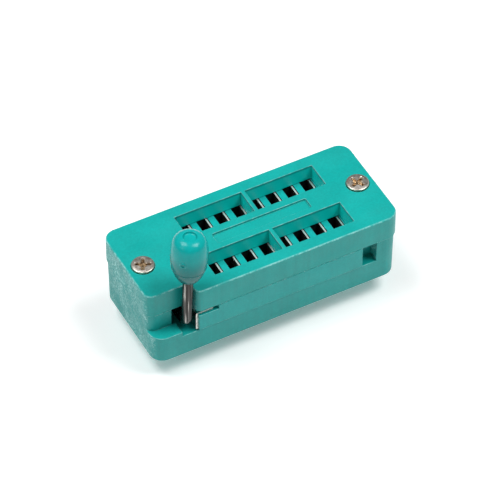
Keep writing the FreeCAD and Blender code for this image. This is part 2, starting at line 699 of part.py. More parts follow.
def make_lever_rod():
    """Bent steel rod: the upright handle, the bend, and the shaft with its eccentric.
    It is drawn upright about the shaft's axis."""
    body = new_body("lever_rod")
    route = sketch_on(body, "rod_route", "YZ_Plane")
    handle_line = "Dims.rod_line"
    bend_end = "Dims.rod_line + Dims.rod_bend_radius"
    top = FreeCAD.Vector(value(handle_line), value("Dims.rod_top"), 0)
    bend_start = FreeCAD.Vector(value(handle_line), value("Dims.rod_bend_radius"), 0)
    centre = FreeCAD.Vector(value(bend_end), value("Dims.rod_bend_radius"), 0)
    corner = FreeCAD.Vector(value(bend_end), 0, 0)
    tip = FreeCAD.Vector(value("Dims.shaft_end"), 0, 0)
    upright = route.addGeometry(Part.LineSegment(top, bend_start), False)
    bend = route.addGeometry(
        Part.ArcOfCircle(Part.Circle(centre, FreeCAD.Vector(0, 0, 1),
                                     value("Dims.rod_bend_radius")),
                         math.pi, 1.5 * math.pi), False)
    shaft = route.addGeometry(Part.LineSegment(corner, tip), False)
    route.addConstraint(Sketcher.Constraint("Vertical", upright))
    route.addConstraint(Sketcher.Constraint("Tangent", upright, 2, bend, 1))
    route.addConstraint(Sketcher.Constraint("Tangent", bend, 2, shaft, 1))
    route.addConstraint(Sketcher.Constraint("PointOnObject", shaft, 2, -1))
    route.addConstraint(Sketcher.Constraint("PointOnObject", shaft, 1, -1))
    place_point(route, upright, 1, handle_line, "Dims.rod_top")
    bind(route, Sketcher.Constraint("Radius", bend, value("Dims.rod_bend_radius")),
         "Dims.rod_bend_radius")
    bind(route, Sketcher.Constraint("DistanceX", -1, 1, shaft, 2, value("Dims.shaft_end")),
         "Dims.shaft_end")

    section = sketch_on(body, "rod_section", "XY_Plane", "Dims.rod_top")
    add_circle(section, "0", handle_line, "Dims.rod_diameter / 2")
    rod = body.newObject("PartDesign::AdditivePipe", "bent_rod")
    rod.Profile = section
    rod.Spine = (route, [])
    doc.recompute()

    # The eccentric pushes a flat face, and its flank is an involute, so the face moves
    # by the same distance for every degree that the lever turns.
    swing = math.radians(value("Dims.lever_swing"))
    pitch_radius = value("Dims.slider_travel") / swing
    rest_reach = value(
        "Dims.slider_left - Dims.clip_thickness - Dims.shaft_place - Dims.eccentric_gap")
    lean = math.radians(value("Dims.lever_lean"))
    cheek = value("Dims.rod_diameter / 2 + Dims.cheek_spare")
    flank_points = []
    flank_steps = 12
    for step in range(flank_steps + 1):
        turned = swing * step / flank_steps
        reach = rest_reach + pitch_radius * turned
        angle = lean - turned
        flank_points.append(FreeCAD.Vector(
            reach * math.cos(angle) + pitch_radius * math.sin(angle),
            reach * math.sin(angle) - pitch_radius * math.cos(angle), 0))
    flank = Part.BSplineCurve()
    flank.interpolate(flank_points)
    lobe = sketch_on(body, "eccentric_section", "XZ_Plane", "-Dims.well_front - Dims.lobe_end_gap")
    left = FreeCAD.Vector(-cheek, 0, 0)
    right = FreeCAD.Vector(cheek, 0, 0)
    crown = Part.ArcOfCircle(Part.Circle(FreeCAD.Vector(0, 0, 0), FreeCAD.Vector(0, 0, 1), cheek),
                             0, math.pi)
    lobe.addGeometry([
        flank,
        Part.LineSegment(flank_points[-1], left),
        crown,
        Part.LineSegment(right, flank_points[0]),
    ], False)
    eccentric = body.newObject("PartDesign::Pad", "eccentric")
    eccentric.Profile = lobe
    eccentric.Reversed = True
    eccentric.setExpression("Length", "Dims.back_wall_line - Dims.well_front - 2 * Dims.lobe_end_gap")
    doc.recompute()
    tilt_with_lever(body)
    return body


def knob_side_points():
    """Points (radius, height above the waist) up the knob's side. Below the waist it is an
    egg's end, above it is fuller, and the shoulder rolls over to the crown."""
    radius = value("Dims.knob_radius")
    upper = value("Dims.knob_upper_height")
    lower = value("Dims.knob_lower_height")
    bottom = value("Dims.knob_bottom")
    shoulder = value("Dims.knob_shoulder")
    crown = value("Dims.knob_crown")
    crown_radius = value("Dims.knob_crown_radius")

    points = []
    steps = 12
    for step in range(steps + 1):
        height = -bottom * (1 - step / steps)
        share = (-height / lower) ** value("Dims.knob_lower_power")
        points.append((radius * math.sqrt(1 - share), height))
    for step in range(1, steps + 1):
        height = shoulder * step / steps
        share = (height / upper) ** value("Dims.knob_upper_power")
        points.append((radius * math.sqrt(1 - share), height))
    edge = points[-1][0]
    for turn in (30, 60, 90):
        angle = math.radians(turn)
        points.append((crown_radius + (edge - crown_radius) * math.cos(angle),
                       shoulder + (crown - shoulder) * math.sin(angle)))
    return points


def make_lever_knob():
    """Barrel-shaped moulded knob with a dimpled crown, pressed on the rod. It is drawn
    upright about the shaft's axis."""
    body = new_body("lever_knob")
    profile = sketch_on(body, "knob_profile", "YZ_Plane")
    line = value("Dims.rod_line")
    waist = value("Dims.knob_waist")
    dimple = value("Dims.knob_dimple_radius")
    floor = value("Dims.knob_crown - Dims.knob_dimple_depth")
    bore = value("Dims.rod_diameter / 2")
    bore_end = value("Dims.rod_top - Dims.knob_waist")
    side = knob_side_points()

    def at(radius, height):
        return FreeCAD.Vector(line + radius, waist + height, 0)

    flank = Part.BSplineCurve()
    flank.interpolate([at(*point) for point in side])
    corners = [side[-1], (dimple, side[-1][1]), (dimple, floor), (0, floor), (0, bore_end),
               (bore, bore_end), (bore, side[0][1]), side[0]]
    segments = [Part.LineSegment(at(*start), at(*end)) for start, end in zip(corners, corners[1:])]
    profile.addGeometry([flank] + segments, False)
    axis = profile.addGeometry(Part.LineSegment(at(0, 0), at(0, 1)), True)
    profile.addConstraint(Sketcher.Constraint("Vertical", axis))

    turned = body.newObject("PartDesign::Revolution", "knob_turned")
    turned.Profile = profile
    turned.ReferenceAxis = (profile, ["Axis0"])
    turned.Angle = 360
    doc.recompute()
    tilt_with_lever(body)
    return body


def check_document():
    """Stop if any object failed or any piece is empty, broken or more than one solid."""
    doc.recompute()
    for item in doc.Objects:
        if "Invalid" in item.State or "Error" in item.State:
            raise RuntimeError(f"{item.Name} failed: {item.State}")
    for piece in PIECES:
        shape = piece.Shape
        if shape.isNull() or not shape.isValid() or len(shape.Solids) != 1:
            raise RuntimeError(f"{piece.Label} isn't one valid solid")


make_base_housing()
make_top_cover()
make_slider_plate()
make_wear_clip()
make_lever_rod()
make_lever_knob()
make_screw("cover_screw_left", "-Dims.screw_place", "Dims.left_cross_turn")
make_screw("cover_screw_right", "Dims.screw_place", "Dims.right_cross_turn")

leads_per_row = int(value("Dims.leads_per_row"))
for number in range(1, 2 * leads_per_row + 1):
    on_front_row = number <= leads_per_row
    column = number - 1 if on_front_row else 2 * leads_per_row - number
    make_contact(
        f"contact_{number:02d}",
        f"({column} - (Dims.leads_per_row - 1) / 2) * Dims.lead_pitch",
        ROWS[0][1] if on_front_row else ROWS[1][1],
    )

check_document()
os.makedirs("parts", exist_ok=True)
for piece in PIECES:
    piece.Shape.exportStep(f"parts/{piece.Label}.step")
    box = piece.Shape.BoundBox
    print(f"{piece.Label}: {piece.Shape.Volume:.2f} mm3, "
          f"x {box.XMin:.2f}..{box.XMax:.2f}, y {box.YMin:.2f}..{box.YMax:.2f}, "
          f"z {box.ZMin:.2f}..{box.ZMax:.2f}")
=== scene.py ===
import json
import math

import bmesh
import bpy
from mathutils import Matrix, Vector, noise


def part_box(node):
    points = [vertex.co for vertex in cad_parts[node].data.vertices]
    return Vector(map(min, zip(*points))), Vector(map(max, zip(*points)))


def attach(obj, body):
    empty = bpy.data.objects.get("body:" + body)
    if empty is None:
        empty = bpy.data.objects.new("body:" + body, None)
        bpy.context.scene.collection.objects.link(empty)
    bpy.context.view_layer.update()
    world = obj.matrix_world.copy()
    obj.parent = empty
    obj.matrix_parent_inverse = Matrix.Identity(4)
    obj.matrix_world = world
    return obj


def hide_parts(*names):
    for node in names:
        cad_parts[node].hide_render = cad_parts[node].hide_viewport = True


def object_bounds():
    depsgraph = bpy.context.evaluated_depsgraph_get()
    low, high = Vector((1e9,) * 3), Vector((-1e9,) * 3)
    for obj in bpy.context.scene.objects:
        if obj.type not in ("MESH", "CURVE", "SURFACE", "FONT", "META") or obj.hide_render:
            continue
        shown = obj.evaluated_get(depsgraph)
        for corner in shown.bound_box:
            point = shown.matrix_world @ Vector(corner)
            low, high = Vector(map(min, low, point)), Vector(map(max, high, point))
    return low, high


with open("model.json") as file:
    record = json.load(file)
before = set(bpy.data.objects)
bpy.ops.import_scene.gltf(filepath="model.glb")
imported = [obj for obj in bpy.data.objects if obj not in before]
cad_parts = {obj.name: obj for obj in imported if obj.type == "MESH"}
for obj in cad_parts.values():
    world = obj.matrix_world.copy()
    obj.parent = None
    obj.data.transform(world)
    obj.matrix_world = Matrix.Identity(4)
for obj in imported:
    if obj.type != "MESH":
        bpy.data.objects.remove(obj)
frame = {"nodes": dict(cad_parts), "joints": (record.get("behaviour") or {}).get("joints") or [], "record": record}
cad_low, cad_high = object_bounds()
nodes = frame["nodes"]

MM = 0.001
UP = Vector((0.0, 0.0, 1.0))


# ---------------------------------------------------------------- camera

def make_camera():
    """Long lens, looking down on the block's lever side from its left."""
    azimuth = math.radians(-28.18)
    elevation = math.radians(46.55)
    roll = math.radians(0.17)
    distance = 528.0 * MM
    lens_mm = 290.05
    aim_shift = Vector((0.139, -4.022)) * MM

    cover_low, cover_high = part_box("top_cover")
    base_low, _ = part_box("base_housing")
    target = (cover_low + cover_high) / 2
    target.z = base_low.z

    back = Vector((
        math.sin(azimuth) * math.cos(elevation),
        -math.cos(azimuth) * math.cos(elevation),
        math.sin(elevation),
    ))
    right = (-back).cross(UP).normalized()
    up = right.cross(-back)
    rolled_right = right * math.cos(roll) + up * math.sin(roll)
    rolled_up = up * math.cos(roll) - right * math.sin(roll)

    data = bpy.data.cameras.new("camera")
    data.lens = lens_mm
    data.sensor_width = 36.0
    data.clip_start = 0.05
    data.clip_end = 20.0
    camera = bpy.data.objects.new("camera", data)
    rotation = Matrix((rolled_right, rolled_up, back)).transposed()
    place = target - rolled_right * aim_shift.x - rolled_up * aim_shift.y + back * distance
    camera.matrix_world = Matrix.Translation(place) @ rotation.to_4x4()
    bpy.context.scene.collection.objects.link(camera)
    bpy.context.scene.camera = camera


# ---------------------------------------------------------------- node helpers

class Nodes:
    """Short ways to add and join nodes of one material."""

    def __init__(self, name):
        self.material = bpy.data.materials.new(name)
        self.material.use_nodes = True
        self.tree = self.material.node_tree
        self.tree.nodes.clear()
        self.output = self.add("ShaderNodeOutputMaterial")
        self.shader = self.add("ShaderNodeBsdfPrincipled")
        self.join(self.shader, "BSDF", self.output, "Surface")
        self.place = self.add("ShaderNodeTexCoord")

    def add(self, kind, **settings):
        node = self.tree.nodes.new(kind)
        for key, setting in settings.items():
            if key in node.inputs:
                node.inputs[key].default_value = setting
            else:
                setattr(node, key, setting)
        return node

    def join(self, source, output, target, entry):
        self.tree.links.new(source.outputs[output], target.inputs[entry])

    def set(self, **sockets):
        for name, number in sockets.items():
            self.shader.inputs[name.replace("_", " ")].default_value = number

    def scaled(self, scale):
        """Object position times scale, which may differ along the axes."""
        mapping = self.add("ShaderNodeMapping")
        mapping.inputs["Scale"].default_value = scale
        self.join(self.place, "Object", mapping, "Vector")
        return mapping

    def noise(self, size, detail=4.0, roughness=0.55, stretch=(1, 1, 1)):
        """Noise with features about size metres across."""
        mapping = self.scaled([axis / size for axis in stretch])
        texture = self.add("ShaderNodeTexNoise", Scale=1.0, Detail=detail, Roughness=roughness)
        self.join(mapping, "Vector", texture, "Vector")
        return texture

    def ramp(self, source, output, stops):
        """Colour ramp whose stops are (position, colour)."""
        ramp = self.add("ShaderNodeValToRGB")
        elements = ramp.color_ramp.elements
        elements[0].position, elements[0].color = stops[0][0], stops[0][1]
        elements[1].position, elements[1].color = stops[-1][0], stops[-1][1]
        for position, colour in stops[1:-1]:
            elements.new(position).color = colour
        self.join(source, output, ramp, "Fac")
        return ramp

    def fade(self, source, output, low, high, to_low=0.0, to_high=1.0):
        """Number remapped from low..high to to_low..to_high, and held at the ends."""
        remap = self.add("ShaderNodeMapRange")
        remap.inputs["From Min"].default_value = low
        remap.inputs["From Max"].default_value = high
        remap.inputs["To Min"].default_value = to_low
        remap.inputs["To Max"].default_value = to_high
        self.join(source, output, remap, "Value")
        return remap

    def maths(self, operation, first, second):
        """Sum, product or so on of two things, each a (node, output) pair or a number."""
        node = self.add("ShaderNodeMath", operation=operation)
        for index, item in enumerate((first, second)):
            if isinstance(item, tuple):
                self.tree.links.new(item[0].outputs[item[1]], node.inputs[index])
            else:
                node.inputs[index].default_value = item
        return node

    def product(self, *pairs):
        """Product of several (node, output) pairs, as such a pair."""
        result = pairs[0]
        for pair in pairs[1:]:
            result = (self.maths("MULTIPLY", result, pair), "Value")
        return result

    def without_sign(self, source, output):
        return self.maths("ABSOLUTE", (source, output), 0.0)

    def axes(self, source, output):
        """Node whose X, Y and Z outputs are those of a vector."""
        node = self.add("ShaderNodeSeparateXYZ")
        self.join(source, output, node, "Vector")
        return node

    def mix(self, factor, first, second, blend_type="MIX"):
        """Colour mix. factor, first and second are (node, output) pairs or constants."""
        node = self.add("ShaderNodeMix", data_type="RGBA", blend_type=blend_type)
        for index, item in ((0, factor), (6, first), (7, second)):
            if isinstance(item, tuple) and hasattr(item[0], "outputs"):
                self.tree.links.new(item[0].outputs[item[1]], node.inputs[index])
            else:
                node.inputs[index].default_value = item
        return node

    def bump(self, source, output, distance, before=None):
        """Bump of a given height in metres, on top of an earlier node's normal."""
        node = self.add("ShaderNodeBump")
        node.inputs["Distance"].default_value = distance
        node.inputs["Strength"].default_value = 1.0
        self.join(source, output, node, "Height")
        if before:
            self.join(before, "Normal", node, "Normal")
        return node

    def finish(self, colour, grain, smoothest, roughest, relief, height):
        """Join a colour, a roughness that follows one noise, and bumps of another."""
        self.join(colour, "Result", self.shader, "Base Color")
        roughness = self.fade(grain, "Fac", 0.3, 0.7, smoothest, roughest)
        self.join(roughness, "Result", self.shader, "Roughness")
        bumps = self.bump(relief, "Fac", height)
        self.join(bumps, "Normal", self.shader, "Normal")


def grey(level):
    return (level, level, level, 1.0)


# ---------------------------------------------------------------- materials

RIM_RADIUS = 0.08 * MM
CELL_ROOM = Vector((1.6, 0.35, 0.0)) * MM
CELL_FLOOR = 1.0 * MM
# Painted light for the pockets' walls and painted shade for the contacts' cells
POCKET_PAINTED_LIGHT = (0.0005, 0.74, 0.69, 1)
CELL_PAINTED_SHADE = (0.010, 0.019, 0.019, 1)


def body_colour(n, colour, deep, upright):
    """Cloudy colour with fine speckle. Upright faces are multiplied darker all over as painted
    shade, streaked with faint drag marks down them, so they look duller than the polished top."""
    clouds = n.noise(6 * MM, detail=3)
    cloudy = n.ramp(clouds, "Fac", [(0.3, deep), (0.7, colour)])
    speckle = n.noise(0.28 * MM, detail=5, roughness=0.7)
    speckled = n.ramp(speckle, "Fac", [(0.35, grey(0.86)), (0.65, grey(1.0))])
    speckled = n.mix(1.0, (cloudy, "Color"), (speckled, "Color"), "MULTIPLY")
    drags = n.noise(0.6 * MM, detail=4, roughness=0.65, stretch=(1, 1, 0.06))
    # Painted shade on upright faces, with drag-mark streaks in it
    upright_shade_and_drags = n.ramp(drags, "Fac", [(0.3, (0.9, 0.73, 0.73, 1)), (0.68, (1.0, 0.83, 0.84, 1))])
    return n.mix((upright, "Result"), (speckled, "Result"), (upright_shade_and_drags, "Color"), "MULTIPLY")


def rim_highlights_and_wear(n, rounded):
    """How pale a rim is painted: a painted highlight along edges, patchy like rubbed wear, only where a rounded
    normal is between upright and level.
    """
    turning = n.axes(rounded, "Normal")
    tilt = n.without_sign(turning, "Z")
    leaves_level = n.fade(tilt, "Value", 0.97, 0.85)
    leaves_upright = n.fade(tilt, "Value", 0.15, 0.35)
    patches = n.noise(0.7 * MM, detail=5, roughness=0.7)
    patchy = n.fade(patches, "Fac", 0.42, 0.66, 0.06, 0.7)
    return n.product((leaves_level, "Result"), (leaves_upright, "Result"), (patchy, "Result"))


def chalky_ends(n, end_face, chalk, spot):
    """How chalky a place is: only on end faces, worst just below the split line."""
    chalky = n.fade(chalk, "Fac", 0.48, 0.58)
    blotch = n.noise(2.2 * MM, detail=5, roughness=0.65)
    blotchy = n.fade(blotch, "Fac", 0.40, 0.62, 0.12, 0.78)
    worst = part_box("top_cover")[0].z - 0.4 * MM
    above = n.maths("SUBTRACT", (spot, "Z"), worst)
    distance = n.without_sign(above, "Value")
    near = n.fade(distance, "Value", 1.6 * MM, 0.2 * MM, 0.0, 0.7)
    seam_patches = n.fade(blotch, "Fac", 0.46, 0.56)
    seam = n.product((near, "Result"), (seam_patches, "Result"))
    blotchy = n.maths("MAXIMUM", (blotchy, "Result"), seam)
    return n.product((end_face, "Result"), (chalky, "Result"), (blotchy, "Value"))


def painted_pocket_light_and_cell_shade(n, outside_colour, upright, spot, cell_top):
    """Outside colour, with painted light on the pockets' walls, brighter as if light gathered
    between them, and painted shade in the contacts' cells below cell_top, dark as if they swallowed it."""
    low, high = cell_field()
    blur = 0.02 * MM
    across = n.without_sign(spot, "Y")
    within = n.product(
        (n.fade(across, "Value", high.y + blur, high.y), "Result"),
        (n.fade(spot, "X", low.x - blur, low.x), "Result"),
        (n.fade(spot, "X", high.x + blur, high.x), "Result"))
    cover_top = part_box("top_cover")[1].z
    sunk = n.fade(spot, "Z", cover_top - 0.1 * MM, cover_top - 0.5 * MM)
    # Painted light: the pockets' upright walls get a brighter teal
    walls = n.product(within, (sunk, "Result"), (upright, "Result"))
    painted_wall_light_colour = n.mix(walls, (outside_colour, "Result"), POCKET_PAINTED_LIGHT)
    beneath = n.fade(spot, "Z", cell_top, cell_top - 0.06 * MM)
    above_tails = n.fade(spot, "Z", CELL_FLOOR, CELL_FLOOR + 0.5 * MM)
    # Painted shade: the cells below cell_top are painted near black
    painted_cell_shade = n.product(within, (beneath, "Result"), (above_tails, "Result"))
    return n.mix(painted_cell_shade, (painted_wall_light_colour, "Result"), CELL_PAINTED_SHADE)


def moulded_plastic(name, colour, deep, pale, roughness, grain, cell_top):
    """Teal moulded plastic, pale on chalky end faces and along rims, where the paleness is a painted
    highlight with wear, and with painted light on the pockets' walls. cell_top is the height below which the
    contacts' cells get painted shade, or 0 for none."""
    n = Nodes(name)
    geometry = n.add("ShaderNodeNewGeometry")
    facing = n.axes(geometry, "Normal")
    spot = n.axes(n.place, "Object")
    steep = n.without_sign(facing, "Z")
    upright = n.fade(steep, "Value", 0.5, 0.2)
    end_face = n.fade(facing, "X", -0.75, -0.97)
    rounded = n.add("ShaderNodeBevel", samples=6)
    rounded.inputs["Radius"].default_value = RIM_RADIUS
    chalk = n.noise(0.30 * MM, detail=7, roughness=0.8)

    body = body_colour(n, colour, deep, upright)
    rim_highlight_and_wear = rim_highlights_and_wear(n, rounded)
    ends = chalky_ends(n, end_face, chalk, spot)
    # Pale on rims, as a painted highlight with wear, and on chalky end faces
    highlight_wear_and_chalk = n.maths("MAXIMUM", rim_highlight_and_wear, ends)
    colour_with_highlight_wear_and_chalk = n.mix((highlight_wear_and_chalk, "Value"), (body, "Result"), pale)
    final = painted_pocket_light_and_cell_shade(n, colour_with_highlight_wear_and_chalk, upright, spot, cell_top)
    n.join(final, "Result", n.shader, "Base Color")

    smears = n.noise(2.4 * MM, detail=5, roughness=0.6, stretch=(0.4, 1, 1))
    rough = n.fade(smears, "Fac", 0.3, 0.7, roughness - 0.06, roughness + 0.1)
    n.join(rough, "Result", n.shader, "Roughness")

    fine = n.noise(0.11 * MM, detail=3)
    waves = n.noise(1.6 * MM, detail=2)
    pits = n.maths("MULTIPLY", (end_face, "Result"), (chalk, "Fac"))
    bumps = n.bump(fine, "Fac", 0.004 * MM * grain, rounded)
    bumps = n.bump(waves, "Fac", 0.02 * MM * grain, bumps)
    bumps = n.bump(pits, "Value", 0.10 * MM, bumps)
    n.join(bumps, "Normal", n.shader, "Normal")
    n.set(IOR=1.4)
    return n.material


def cell_field():
    """Corners of the box that holds all the contacts and the cells round them."""
    boxes = [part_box(name) for name in nodes if name.startswith("contact_")]
    low = Vector([min(box[0][axis] for box in boxes) for axis in range(3)]) - CELL_ROOM
    high = Vector([max(box[1][axis] for box in boxes) for axis in range(3)]) + CELL_ROOM
    return low, high


def stamped_clip():
    """Bright stamped steel strip with tarnish in patches and scratches along it."""
    n = Nodes("clip_steel")
    tarnish = n.noise(0.9 * MM, detail=5, roughness=0.65)
    base = n.ramp(tarnish, "Fac", [(0.35, (0.42, 0.39, 0.36, 1)), (0.66, (0.86, 0.84, 0.80, 1))])
    scratches = n.noise(0.12 * MM, detail=4, roughness=0.6, stretch=(0.1, 1, 1))
    scratched = n.ramp(scratches, "Fac", [(0.3, grey(0.72)), (0.7, grey(1.0))])
    coloured = n.mix(1.0, (base, "Color"), (scratched, "Color"), "MULTIPLY")
    n.finish(coloured, scratches, 0.18, 0.38, scratches, 0.002 * MM)
    n.set(Metallic=1.0)
    return n.material


def rod_with_painted_highlights():
    """Dark drawn steel, with bright streaks painted along it as highlights."""
    n = Nodes("rod_steel")
    lines = n.noise(0.42 * MM, detail=3, roughness=0.6, stretch=(1, 1, 0.03))
    # Painted highlights: the ramp's bright stop paints light streaks along the rod
    painted_streaks = n.ramp(lines, "Fac", [
        (0.36, (0.022, 0.020, 0.019, 1)), (0.50, (0.055, 0.052, 0.049, 1)),
        (0.60, (0.11, 0.105, 0.10, 1)), (0.67, (0.70, 0.67, 0.63, 1))])
    fine = n.noise(0.10 * MM, detail=4, roughness=0.6, stretch=(1, 1, 0.05))
    finely = n.ramp(fine, "Fac", [(0.3, grey(0.7)), (0.7, grey(1.0))])
    coloured = n.mix(1.0, (painted_streaks, "Color"), (finely, "Color"), "MULTIPLY")
    n.finish(coloured, fine, 0.2, 0.34, fine, 0.002 * MM)
    n.set(Metallic=1.0)
    return n.material


def contact_strip_painted_shade():
    """Contact strip: bright on a thin band at its top and where its solder tail is tinned,
    and painted dark on its faces below that band, as painted shade for the cells they stand in."""
    n = Nodes("contact_metal")
    spot = n.axes(n.place, "Object")
    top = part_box("contact_01")[1].z
    top_band = n.fade(spot, "Z", top - 0.03 * MM, top - 0.01 * MM)
    tinned = n.fade(spot, "Z", 0.2 * MM, 0.0)
    unshaded = n.maths("MAXIMUM", (top_band, "Result"), (tinned, "Result"))
    tarnish = n.noise(0.5 * MM, detail=5, roughness=0.65)
    # Painted shade: the faces get a near-black colour, mottled with tarnish
    faces = n.ramp(tarnish, "Fac", [(0.35, (0.05, 0.05, 0.046, 1)), (0.66, (0.10, 0.10, 0.09, 1))])
    edges = n.ramp(tarnish, "Fac", [(0.3, (0.74, 0.73, 0.70, 1)), (0.6, (0.93, 0.92, 0.89, 1))])
    coloured = n.mix((unshaded, "Value"), (faces, "Color"), (edges, "Color"))
    streaks = n.noise(0.1 * MM, detail=4, roughness=0.6, stretch=(1, 0.15, 1))
    n.finish(coloured, streaks, 0.34, 0.5, streaks, 0.001 * MM)
    n.set(Metallic=0.75)
    return n.material


def knob_plastic():
    """Glossy teal plastic with faint flow marks, with painted light at its thin, lit crown, as if
    it glowed, and painted shade that deepens towards its foot."""
    n = Nodes("knob_plastic")
    low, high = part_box("lever_knob")
    spot = n.axes(n.place, "Object")
    height = n.fade(spot, "Z", low.z, high.z)
    # Painted light and shade: the teal grows lighter with height, darkest at the foot
    painted_height_shading = n.ramp(height, "Result", [
        (0.0, (0.003, 0.07, 0.069, 1)), (0.36, (0.003, 0.18, 0.175, 1)),
        (0.54, (0.003, 0.27, 0.262, 1)), (0.68, (0.003, 0.37, 0.358, 1)),
        (1.0, (0.003, 0.44, 0.425, 1))])
    flow = n.noise(3.2 * MM, detail=4, roughness=0.6, stretch=(1, 1, 0.5))
    flowing = n.ramp(flow, "Fac", [(0.3, grey(0.84)), (0.7, grey(1.0))])
    dust = n.noise(0.2 * MM, detail=5, roughness=0.7)
    dusty = n.ramp(dust, "Fac", [(0.4, grey(0.92)), (0.62, grey(1.0))])
    base = n.mix(1.0, (painted_height_shading, "Color"), (flowing, "Color"), "MULTIPLY")
    coloured = n.mix(1.0, (base, "Result"), (dusty, "Color"), "MULTIPLY")
    smears = n.noise(1.5 * MM, detail=5)
    ripple = n.noise(0.7 * MM, detail=2)
    n.finish(coloured, smears, 0.17, 0.27, ripple, 0.004 * MM)
    n.set(IOR=1.30)
    return n.material


def screw_metal():
    """Nickelled screw: pale on the crown and rim, brown with old lacquer in the cross
    recess and down the side of the head, darkened there with painted shade."""
    n = Nodes("screw_steel")
    spot = n.axes(n.place, "Object")
    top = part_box("cover_screw_left")[1].z
    tarnish = n.noise(0.5 * MM, detail=6, roughness=0.7)
    crown = n.ramp(tarnish, "Fac", [(0.36, (0.66, 0.57, 0.47, 1)), (0.60, (0.97, 0.92, 0.84, 1))])
    # Brown lacquer with painted shade: its dark end shades the recess and the head's side
    lacquer_and_shade = n.ramp(tarnish, "Fac", [(0.4, (0.14, 0.095, 0.055, 1)), (0.58, (0.85, 0.66, 0.44, 1))])
    deep = n.fade(spot, "Z", top - 0.20 * MM, top - 0.34 * MM)
    coloured = n.mix((deep, "Result"), (crown, "Color"), (lacquer_and_shade, "Color"))
    hammered = n.noise(0.25 * MM, detail=3)
    n.finish(coloured, tarnish, 0.26, 0.42, hammered, 0.012 * MM)
    n.set(Metallic=1.0)
    return n.material


def make_materials():
    """One material for each slot of the record."""
    slots_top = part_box("slider_plate")[1].z - 0.02 * MM
    return {
        "cover_plastic": moulded_plastic(
            "cover_plastic", (0.0022, 0.43, 0.395, 1), (0.0018, 0.375, 0.345, 1),
            (0.42, 0.78, 0.76, 1), 0.40, 1.0, 0.0),
        "base_plastic": moulded_plastic(
            "base_plastic", (0.0024, 0.41, 0.38, 1), (0.0018, 0.36, 0.333, 1),
            (0.42, 0.76, 0.74, 1), 0.42, 1.2, slots_top),
        "slider_plastic": moulded_plastic(
            "slider_plastic", (0.0015, 0.45, 0.42, 1), (0.0012, 0.39, 0.37, 1),
            (0.34, 0.74, 0.72, 1), 0.40, 0.9, slots_top),
        "knob_plastic": knob_plastic(),
        "rod_steel": rod_with_painted_highlights(),
        "clip_steel": stamped_clip(),
        "screw_steel": screw_metal(),
        "contact_metal": contact_strip_painted_shade(),
    }


# ---------------------------------------------------------------- mesh helpers

def new_piece(name, mesh_builder, material, body):
    """Object from a bmesh, smooth where it is round, that rides on a body."""
    mesh = bpy.data.meshes.new(name)
    mesh_builder.to_mesh(mesh)
    mesh_builder.free()
    mesh.shade_smooth()
    mesh.set_sharp_from_angle(angle=math.radians(38))
    piece = bpy.data.objects.new(name, mesh)
    bpy.context.scene.collection.objects.link(piece)
    mesh.materials.append(material)
    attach(piece, body)
    return piece


def shaped_ring(builder, radius_at, height_at, segments):
    """Ring of vertices about Z. Its radius may change with the angle, and its height
    with the place."""
    ring = []
    for step in range(segments):
        angle = 2 * math.pi * step / segments
        radius = radius_at(angle)
        x = radius * math.cos(angle)
        y = radius * math.sin(angle)
        ring.append(builder.verts.new((x, y, height_at(x, y))))
    return ring


def even_ring(builder, radius, height, segments):
    """Round, level ring of vertices about Z, or a single one where the radius is 0."""
    if radius == 0:
        return [builder.verts.new((0, 0, height))]
    return shaped_ring(builder, lambda angle: radius, lambda x, y: height, segments)


def skin(builder, rings):
    """Join each ring to the next with faces, all of which look outwards."""
    for first, second in zip(rings, rings[1:]):
        segments = max(len(first), len(second))
        for step in range(segments):
            after = (step + 1) % segments
            corners = [first[step % len(first)], first[after % len(first)],
                       second[after % len(second)], second[step % len(second)]]
            builder.faces.new(list(dict.fromkeys(corners)))
    bmesh.ops.recalc_face_normals(builder, faces=builder.faces)


def quarter_turn(steps):
    """(sine, cosine) at even steps of a quarter turn, without its start."""
    turns = [math.radians(90 * step / steps) for step in range(1, steps + 1)]
    return [(math.sin(turn), math.cos(turn)) for turn in turns]


# ---------------------------------------------------------------- pieces

def dress_cad_nodes(materials):
    """Give every CAD node its slot's material."""
    slots = {part["node"]: part["material_slot"] for part in frame["record"]["subparts"]}
    for name, piece in nodes.items():
        piece.data.materials.clear()
        piece.data.materials.append(materials[slots[name]])


def ease(number):
    """Smooth step from 0 to 1."""
    held = min(max(number, 0.0), 1.0)
    return held * held * (3 - 2 * held)


def bell(distance, width):
    """1 at no distance, and 0 well beyond width."""
    return math.exp(-(distance / width) ** 2)


# Knob, in mm. Heights are from its widest ring, which is KNOB_WAIST up the rod. Its side
# is a rounded oval (height, power) below that ring, and another above it.
KNOB_WAIST = 12.24
KNOB_RADIUS = 2.44
KNOB_BELOW = (4.84, 1.9)
KNOB_ABOVE = (3.98, 3.17)
KNOB_BOTTOM = 4.05
KNOB_SHOULDER = 2.55
KNOB_CROWN = 3.36
LEVER_LEAN = math.radians(2.5)


def knob_side(height):
    """Radius of the knob's side: egg-shaped below its widest ring and fuller above."""
    reach, power = KNOB_BELOW if height < 0 else KNOB_ABOVE
    return KNOB_RADIUS * math.sqrt(1 - (abs(height) / reach) ** power)


